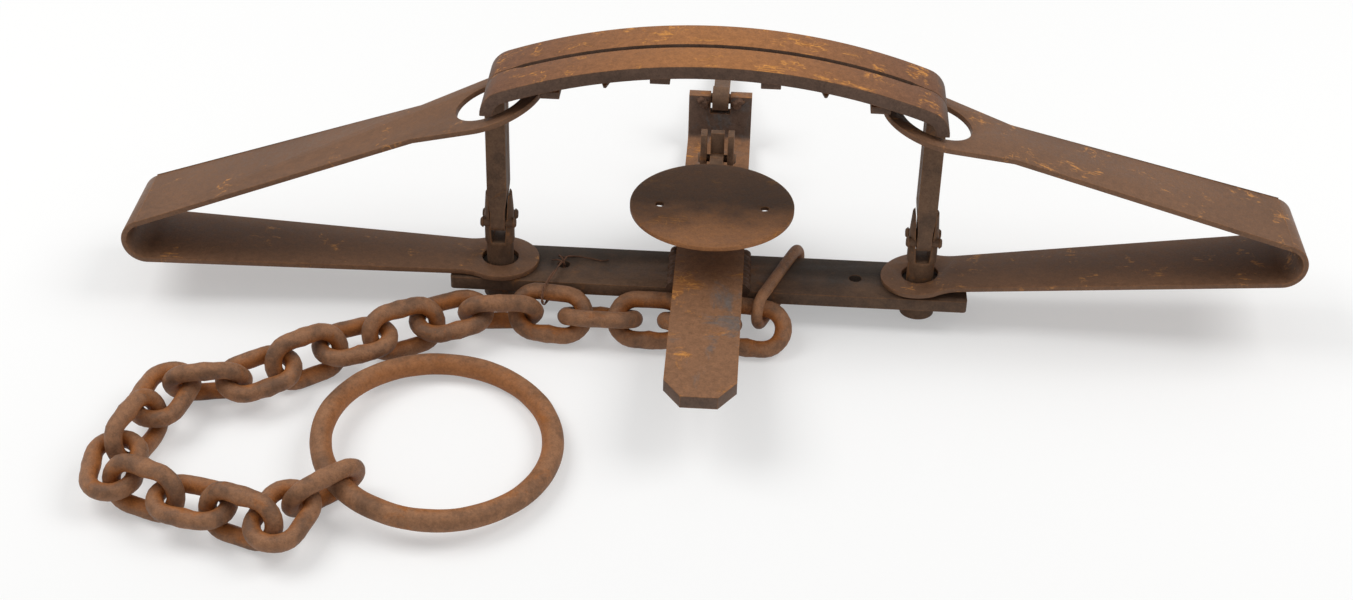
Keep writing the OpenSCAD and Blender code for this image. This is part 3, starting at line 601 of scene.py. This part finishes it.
def place_of(node):
    """Middle and three axes, longest first, of a CAD node, from its surface."""
    mesh = frame["nodes"][node].data
    mesh.calc_loop_triangles()
    whole, middle = 0.0, Vector()
    rows = []
    for tri in mesh.loop_triangles:
        c = sum((mesh.vertices[i].co for i in tri.vertices), Vector()) / 3
        rows.append((tri.area, c))
        whole += tri.area
        middle += c * tri.area
    middle /= whole
    spread = Matrix(((0,) * 3,) * 3)
    for area, c in rows:
        d = c - middle
        for i in range(3):
            for j in range(3):
                spread[i][j] += area * d[i] * d[j] / whole
    # The two longest axes, by repeated multiplication from a start that lies along none of them
    start, rounds = Vector((0.61, 0.53, 0.37)), 300
    axes = []
    for _ in range(2):
        v = start.copy()
        for _ in range(rounds):
            for a in axes:
                v -= a * v.dot(a)
            v = (spread @ v).normalized()
        axes.append(v)
    axes.append(axes[0].cross(axes[1]))
    turn = Matrix((axes[0], axes[1], axes[2])).transposed().to_4x4()
    return Matrix.Translation(middle) @ turn


def bent_bow(node, sizes, front):
    """A jaw's bow: one flat bar bent round a shoulder, the arch and the other shoulder."""
    low, high = trap_box(node)
    end, crown, foot = high.x, high.z, low.z
    inner, outer = (high.y, low.y) if front else (low.y, high.y)
    middle = end - sizes.shoulder
    arch_low = crown - sizes.arch
    half_turn = asin(middle / (sizes.arch - sizes.shoulder))
    shoulder_z = arch_low + (sizes.arch - sizes.shoulder) * cos(half_turn)
    shoulder_steps, arch_steps = 8, 60
    work = bmesh.new()
    corners = [work.verts.new((-end + x, y, foot)) for x, y in (
        (0, inner), (sizes.strap, inner), (sizes.strap, outer), (0, outer))]
    start = work.faces.new(corners)

    def pushed(face, vec):
        made = bmesh.ops.extrude_face_region(work, geom=[face])
        bmesh.ops.translate(
            work, verts=[g for g in made["geom"] if isinstance(g, bmesh.types.BMVert)], vec=vec)
        return next(g for g in made["geom"] if isinstance(g, bmesh.types.BMFace))

    def swept(face, cent, angle, steps):
        made = bmesh.ops.spin(work, geom=[face], cent=cent, axis=(0, 1, 0), angle=angle, steps=steps)
        return next(g for g in made["geom_last"] if isinstance(g, bmesh.types.BMFace))

    tip = pushed(start, (0, 0, shoulder_z - foot))
    tip = swept(tip, (-middle, 0, shoulder_z), pi / 2 - half_turn, shoulder_steps)
    tip = swept(tip, (0, 0, arch_low), 2 * half_turn, arch_steps)
    tip = swept(tip, (middle, 0, shoulder_z), pi / 2 - half_turn, shoulder_steps)
    pushed(tip, (0, 0, foot - shoulder_z))
    inside = [f for f in work.faces if all(len(e.link_faces) > 2 for e in f.edges)]
    bmesh.ops.delete(work, geom=inside, context="FACES_ONLY")
    # The bows meet at their ends and stand apart between them
    for v in work.verts:
        if abs(v.co.y - inner) < SAME and abs(v.co.x) < end - sizes.bow_meet:
            v.co.y += (-1 if front else 1) * sizes.bow_gap
    bmesh.ops.recalc_face_normals(work, faces=work.faces)
    round_corners(work, sizes.bar_round)
    bmesh.ops.transform(work, matrix=TRAP, verts=work.verts)
    return work


def worn_down(work, share):
    """Scales each separate tooth of a merged copy towards its root under the bow."""
    home = TRAP.inverted()
    left = set(work.verts)
    while left:
        tooth = {left.pop()}
        reached = list(tooth)
        while reached:
            for edge in reached.pop().link_edges:
                found = set(edge.verts) - tooth
                tooth |= found
                left -= found
                reached += found
        root = max((home @ v.co).z for v in tooth)
        bmesh.ops.scale(
            work, vec=(1, 1, share), space=Matrix.Translation((0, 0, -root)) @ home, verts=list(tooth))


class TRAP_OT_jaws(bpy.types.Operator):
    """Both jaws: bows, legs and teeth"""
    bl_idname = "trap.jaws"
    bl_label = "Jaws"

    def execute(self, context):
        sizes = context.scene.trap_sizes
        for jaw in ("front_jaw", "rear_jaw"):
            work = bent_bow(jaw + "_bow", sizes, jaw == "front_jaw")
            dress(keep_mesh(work, jaw + "_bow_bent"), "scored_jaw_strap", jaw, "jaw_steel", jaw + "_bow")
            worn_copies([(jaw + "_legs", "forged_post", jaw, "jaw_steel")], sizes.small_round)
            work = merged_copy(jaw + "_teeth")
            worn_down(work, sizes.tooth_share)
            flatten(work)
            round_corners(work, sizes.small_round)
            dress(keep_mesh(work, jaw + "_teeth_worn"), "scored_jaw_strap", jaw, "jaw_steel", jaw + "_teeth")
        return {"FINISHED"}


def wide_leaf(node, post, eye_out, sizes):
    """A spring's upper leaf with its wide eye, in the CAD leaf's plane, open where it meets the bend."""
    place = place_of(node)
    home = place.inverted()
    spots = [home @ v.co for v in frame["nodes"][node].data.vertices]
    foot, stem = home @ post, home.to_3x3() @ UP
    ring = foot - stem * (foot.z / stem.z)
    root = max((p.x for p in spots), key=lambda x: abs(x - ring.x))
    half_root = max(p.y for p in spots if abs(p.x - root) < SAME)
    thick = max(p.z for p in spots) - min(p.z for p in spots)
    length = abs(root - ring.x) - eye_out

    # Half the outline: round the eye from its tip, straight to the neck, along the side to the bend
    half_neck = sizes.neck / 2
    leave = atan2(half_neck, sizes.neck_at) + acos(sizes.eye / 2 / hypot(half_neck, sizes.neck_at))
    work = bmesh.new()
    tip = work.verts.new((-sizes.eye / 2, 0, -thick / 2))
    made = bmesh.ops.spin(work, geom=[tip], cent=(0, 0, 0), axis=(0, 0, -1), angle=pi - leave, steps=40)
    last = next(g for g in made["geom_last"] if isinstance(g, bmesh.types.BMVert))
    for x, y in ((sizes.neck_at, half_neck), (length, half_root)):
        corner = work.verts.new((x, y, -thick / 2))
        work.edges.new((last, corner))
        last = corner
    bmesh.ops.mirror(work, geom=work.verts[:] + work.edges[:], axis="Y", merge_dist=SAME)
    work.edges.new([v for v in work.verts if v.co.x > length - SAME])
    bmesh.ops.create_circle(
        work, segments=72, radius=sizes.eye_hole / 2, matrix=Matrix.Translation((0, 0, -thick / 2)))
    bmesh.ops.triangle_fill(work, use_beauty=True, edges=work.edges[:])
    made = bmesh.ops.extrude_face_region(work, geom=work.faces[:])
    bmesh.ops.translate(
        work, verts=[g for g in made["geom"] if isinstance(g, bmesh.types.BMVert)], vec=(0, 0, thick))
    open_end = [f for f in work.faces if all(v.co.x > length - SAME for v in f.verts)]
    bmesh.ops.delete(work, geom=open_end, context="FACES_ONLY")

    # The leaf leans down from the bend by the eye's drop
    drop = sizes.eye_low if stem.z < 0 else -sizes.eye_low
    for v in work.verts:
        v.co.z += drop * (1 - v.co.x / length)
    out = 1 if root > ring.x else -1
    turn = Matrix.Rotation(0 if out > 0 else pi, 4, "Z")
    bmesh.ops.transform(
        work, matrix=place @ Matrix.Translation((ring.x + out * eye_out, 0, 0)) @ turn, verts=work.verts)
    return work


class TRAP_OT_springs(bpy.types.Operator):
    """Both springs, each one strip from its lower eye round the bend to its wide upper eye"""
    bl_idname = "trap.springs"
    bl_label = "Springs"

    def execute(self, context):
        sizes = context.scene.trap_sizes
        for side in ("left", "right"):
            lower, upper = side + "_spring_lower", side + "_spring_upper"
            bend, eye = (Vector(next(j for j in frame["joints"] if j["name"] == side + kind)["pos_m"])
                         for kind in ("_spring_flex", "_spring_swivel"))
            above = [v.co for v in frame["nodes"][upper].data.vertices]
            work = merged_copy(lower)
            seam = [v for v in work.verts if any((v.co - co).length < SEAM for co in above)]
            shut = [f for f in work.faces if all(v in seam for v in f.verts)]
            if not shut:
                raise RuntimeError(f"{side} spring: the leaves share no seam")
            corners = [v.co.copy() for v in seam]
            bmesh.ops.delete(work, geom=shut, context="FACES_ONLY")
            leaf = wide_leaf(upper, eye, getattr(sizes, side + "_eye_out"), sizes)
            for v in leaf.verts:
                near = min(corners, key=lambda co: (co - v.co).length)
                if (near - v.co).length < SNAP:
                    v.co = near
            take_in(work, leaf)
            bmesh.ops.remove_doubles(work, verts=work.verts, dist=SEAM)
            flatten(work)
            round_corners(work, sizes.strip_round)
            strip = keep_mesh(work, side + "_spring_strip")
            dress(strip, "tempered_strip", None, "spring_steel", lower, upper)
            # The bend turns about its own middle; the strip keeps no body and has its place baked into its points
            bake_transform(strip)
        return {"FINISHED"}


class TRAP_OT_pan(bpy.types.Operator):
    """Pan, its lever and the dog"""
    bl_idname = "trap.pan"
    bl_label = "Pan and dog"

    def execute(self, context):
        worn_copies([
            ("pan", "pressed_sheet", "pan_and_lever", "pan_steel"),
            ("pan_lever", "forged_post", "pan_and_lever", "bar_steel"),
            ("dog", "forged_post", "dog_strap", "bar_steel")], context.scene.trap_sizes.small_round)
        return {"FINISHED"}


def roughened(work, lump, grain, seed):
    """Moves points along their normals by a noise, of which each seed takes another patch."""
    work.normal_update()
    shift = Vector((seed * 7.31, seed * 3.17, seed * 5.53))
    for v in work.verts:
        v.co += v.normal * (noise.noise(v.co / grain + shift) * lump)


def mark_inside(work, core_half, bow, wire):
    """Notes on each point how far it faces the middle of its link, where rust settles."""
    inside = work.verts.layers.float.new("crevice")
    for v in work.verts:
        core = Vector((max(-core_half, min(core_half, v.co.x)), 0, 0))
        outward = Vector((v.co.x, v.co.y, 0)) - core
        away = outward.length - bow
        v[inside] = min(1, max(0, 0.5 - away / wire))


def oval_wire(in_long, in_wide, wire, rings):
    """An oval link of round wire lying flat, its length along X, as a bmesh."""
    work = bmesh.new()
    bow = (in_wide + wire) / 2
    straight = in_long - in_wide
    bmesh.ops.create_circle(
        work, segments=20, radius=wire / 2,
        matrix=Matrix.Translation((-straight / 2, -bow, 0)) @ Matrix.Rotation(pi / 2, 4, "Y"))
    last = work.edges[:]
    for end in (1, -1):
        for _ in range(rings):
            made = bmesh.ops.extrude_edge_only(work, edges=last)
            verts = [g for g in made["geom"] if isinstance(g, bmesh.types.BMVert)]
            bmesh.ops.translate(work, verts=verts, vec=(end * straight / rings, 0, 0))
            last = [g for g in made["geom"] if isinstance(g, bmesh.types.BMEdge)]
        spun = bmesh.ops.spin(
            work, geom=last, cent=(end * straight / 2, 0, 0), axis=(0, 0, 1), angle=pi, steps=14)
        last = [g for g in spun["geom_last"] if isinstance(g, bmesh.types.BMEdge)]
    bmesh.ops.remove_doubles(work, verts=work.verts, dist=SAME)
    mark_inside(work, straight / 2, bow, wire)
    return work


def oval_of(node):
    """Place, inner length, inner width and wire of an oval CAD node, from its surface."""
    place = place_of(node)
    home = place.inverted()
    spots = [home @ v.co for v in frame["nodes"][node].data.vertices]
    long, wide, wire = (max(p[i] for p in spots) - min(p[i] for p in spots) for i in range(3))
    return place, long - 2 * wire, wide - 2 * wire, wire


def weld_knob(work, side, bow, height, seed):
    """Swells one straight side of a link where its wire was welded shut."""
    reach = 4.2 * MM
    for v in work.verts:
        near = (v.co - Vector((0, side * bow, 0))) / reach
        if abs(near.x) < 2 and v.co.y * side > 0:
            uneven = 0.6 + 0.4 * noise.noise(near + Vector((seed, 0, 0)))
            swell = max(0, 1 - near.x * near.x / 2) ** 2
            v.co += Vector((0, near.y, near.z)).normalized() * (height * swell * uneven)


class TRAP_OT_chain(bpy.types.Operator):
    """Chain links with their weld knobs, the ring and the loop on the base bar"""
    bl_idname = "trap.chain"
    bl_label = "Chain and ring"

    def execute(self, context):
        sizes = context.scene.trap_sizes
        owner = {n: b for b, ns in frame["record"]["behaviour"]["bodies"].items() for n in ns}
        links = sorted(n for n in owner if n.startswith("chain_link_"))
        for i, node in enumerate(links):
            place, in_long, in_wide, wire = oval_of(node)
            work = oval_wire(in_long, in_wide, wire, rings=6)
            weld_knob(work, 1 if i % 2 else -1, (in_wide + wire) / 2, sizes.knob, i)
            roughened(work, sizes.lump, grain=7 * MM, seed=i + 1)
            bmesh.ops.transform(work, matrix=place, verts=work.verts)
            dress(keep_mesh(work, node + "_forged"), "forged_chain", owner[node], "chain_steel", node)

        place, in_long, in_wide, wire = oval_of("base_loop")
        work = oval_wire(in_long, in_wide, wire, rings=20)
        roughened(work, sizes.lump * 0.7, grain=9 * MM, seed=LOOP_SEED)
        bmesh.ops.transform(work, matrix=place, verts=work.verts)
        dress(keep_mesh(work, "base_loop_bent"), "forged_chain", "frame", "chain_steel", "base_loop")

        place, in_long, in_wide, wire = oval_of("anchor_ring")
        middle = (in_long + wire) / 2
        work = bmesh.new()
        bmesh.ops.create_circle(
            work, segments=24, radius=wire / 2,
            matrix=Matrix.Translation((middle, 0, 0)) @ Matrix.Rotation(pi / 2, 4, "X"))
        bmesh.ops.spin(
            work, geom=work.edges[:], cent=(0, 0, 0), axis=(0, 0, 1), angle=2 * pi, steps=120, use_merge=True)
        bmesh.ops.remove_doubles(work, verts=work.verts, dist=SAME)
        mark_inside(work, 0, middle, wire)
        roughened(work, sizes.lump, grain=16 * MM, seed=RING_SEED)
        bmesh.ops.transform(work, matrix=place, verts=work.verts)
        dress(keep_mesh(work, "anchor_ring_bar"), "ring_bar", "ring", "chain_steel", "anchor_ring")
        return {"FINISHED"}


def weld_bead(half, side):
    """A rippled, lumpy bead across the base bar, along one side of the cross bar."""
    radius, pitch, ripple = 5.2 * MM, 5.2 * MM, 0.45 * MM
    # Coarse and fine lumps: height, spacing and place in the noise
    lumps = ((1.7 * MM, 4.5 * MM, 9), (0.6 * MM, 1.8 * MM, 5))
    bead = bmesh.new()
    bmesh.ops.create_cone(
        bead, cap_ends=True, segments=20, radius1=radius, radius2=radius, depth=2 * half,
        matrix=Matrix.Rotation(pi / 2, 4, "X"))
    long_edges = [e for e in bead.edges if abs(e.verts[0].co.y - e.verts[1].co.y) > half]
    bmesh.ops.subdivide_edges(bead, edges=long_edges, cuts=40, use_grid_fill=True)
    bead.normal_update()
    for v in bead.verts:
        rise = sin(v.co.y / pitch * 2 * pi) * ripple
        for height, grain, patch in lumps:
            rise += noise.noise(v.co / grain + Vector((side * patch, 0, 0))) * height
        v.co += Vector((v.normal.x, 0, v.normal.z)) * rise
    bmesh.ops.translate(bead, verts=bead.verts, vec=(side * half, 0, 0))
    return bead


class TRAP_OT_welds(bpy.types.Operator):
    """Rough weld beads on the cross bar and on the dog's pin"""
    bl_idname = "trap.welds"
    bl_label = "Welds"

    def execute(self, context):
        work = bmesh.new()
        half = context.scene.trap_sizes.bar / 2
        for side in (-1, 1):
            take_in(work, weld_bead(half, side))
        bmesh.ops.transform(work, matrix=TRAP, verts=work.verts)
        dress(keep_mesh(work, "cross_weld_beads"), "weld_slag", "frame", "weld_metal", "cross_welds")

        work = merged_copy("dog_pin_welds")
        bmesh.ops.subdivide_edges(work, edges=work.edges, cuts=1, use_grid_fill=True)
        roughened(work, lump=0.7 * MM, grain=3 * MM, seed=BLOB_SEED)
        dress(keep_mesh(work, "dog_pin_weld_blobs"), "weld_slag", "frame", "weld_metal", "dog_pin_welds")
        return {"FINISHED"}


def eased(points, steps):
    """A smooth run of points through the given ones."""
    run = []
    for i in range(len(points) - 1):
        a, b, c, d = (points[max(0, min(len(points) - 1, k))] for k in (i - 1, i, i + 1, i + 2))
        for step in range(steps):
            t = step / steps
            run.append(0.5 * (2 * b + (c - a) * t + (2 * a - 5 * b + 4 * c - d) * t * t
                              + (3 * b - 3 * c + d - a) * t * t * t))
    return run + [points[-1]]


# The tie wire's loose ends on the bar's top beside the hole, in millimetres of the trap frame
LOOSE_ENDS = (
    ((-109, -3, 5), (-106, 2, 6), (-101, 6, 4), (-95, 8, 2), (-88, 8, 1), (-81, 6, 0.9), (-76, 8, 0.9)),
    ((-109, -3, 6), (-112, 1, 7), (-113, 5, 4), (-110, 8, 1.5), (-104, 10, 0.9), (-97, 11, 0.9)),
    ((-108, -4, 4), (-113, -2, 5), (-116, 1, 3), (-118, 4, 0.9)),
)


class TRAP_OT_tie_wire(bpy.types.Operator):
    """Twisted tie wire through the left hole, with its loose ends"""
    bl_idname = "trap.tie_wire"
    bl_label = "Tie wire"

    def execute(self, context):
        strand = context.scene.trap_sizes.strand
        place = place_of("tie_wire")
        # Half the loop's straight length, half its width, and how far each strand lies from the route
        long_half, wide_half, apart = 15 * MM, 8.3 * MM, strand * 0.55
        # Points round the loop, turns of the twist, and how fast the route passes the straight sides
        steps, twists, haste = 220, 5, 3
        routes = []
        for phase in (0, pi):
            route = []
            for i in range(steps + 1):
                a = 2 * pi * i / steps
                out = Vector((cos(a), sin(a), 0))
                along = max(-1, min(1, haste * cos(a)))
                middle = out * wide_half + Vector((long_half * along, 0, 0))
                twist = twists * a + phase
                lean = out * cos(twist) + Vector((0, 0, 1)) * sin(twist)
                route.append(place @ (middle + lean * apart))
            routes.append(route)
        for end in LOOSE_ENDS:
            routes.append(eased([TRAP @ (Vector(p) * MM) for p in end], steps=8))
        data = bpy.data.curves.new("tie_route", "CURVE")
        data.dimensions = "3D"
        data.bevel_depth = strand / 2
        data.bevel_resolution = 2
        data.use_fill_caps = True
        for route in routes:
            spline = data.splines.new("POLY")
            spline.points.add(len(route) - 1)
            for point, at in zip(spline.points, route):
                point.co = (*at, 1)
        curve = bpy.data.objects.new("tie_route", data)
        context.scene.collection.objects.link(curve)
        solid = bpy.data.meshes.new_from_object(curve.evaluated_get(context.evaluated_depsgraph_get()))
        work = bmesh.new()
        work.from_mesh(solid)
        bpy.data.objects.remove(curve)
        bpy.data.meshes.remove(solid)
        dress(keep_mesh(work, "tie_wire_twist"), "annealed_wire", "frame", "wire_steel", "tie_wire")
        return {"FINISHED"}


class TRAP_PT_panel(bpy.types.Panel):
    """Sizes, colours and pieces of the trap"""
    bl_idname = "TRAP_PT_panel"
    bl_label = "Leghold trap"
    bl_space_type = "VIEW_3D"
    bl_region_type = "UI"
    bl_category = "Trap"

    def draw(self, context):
        for group in (context.scene.trap_finish, context.scene.trap_sizes, context.scene.trap_stage):
            for key in group.__annotations__:
                self.layout.prop(group, key)
        for piece in PIECES:
            self.layout.operator(piece.bl_idname)


GROUPS = {"trap_finish": TrapFinish, "trap_sizes": TrapSizes, "trap_stage": TrapStage}
PIECES = (TRAP_OT_stage, TRAP_OT_frame_bars, TRAP_OT_jaws, TRAP_OT_springs, TRAP_OT_pan, TRAP_OT_chain,
          TRAP_OT_welds, TRAP_OT_tie_wire)


def register():
    for kind in (*GROUPS.values(), *PIECES, TRAP_PT_panel):
        bpy.utils.register_class(kind)
    for key, group in GROUPS.items():
        setattr(bpy.types.Scene, key, bpy.props.PointerProperty(type=group))


def unregister():
    for key in GROUPS:
        delattr(bpy.types.Scene, key)
    for kind in reversed((*GROUPS.values(), *PIECES, TRAP_PT_panel)):
        bpy.utils.unregister_class(kind)


def main():
    register()
    bpy.ops.trap.stage()
    bpy.ops.trap.frame_bars()
    bpy.ops.trap.jaws()
    bpy.ops.trap.springs()
    bpy.ops.trap.pan()
    bpy.ops.trap.chain()
    bpy.ops.trap.welds()
    bpy.ops.trap.tie_wire()


if __name__ == "__main__":
    main()
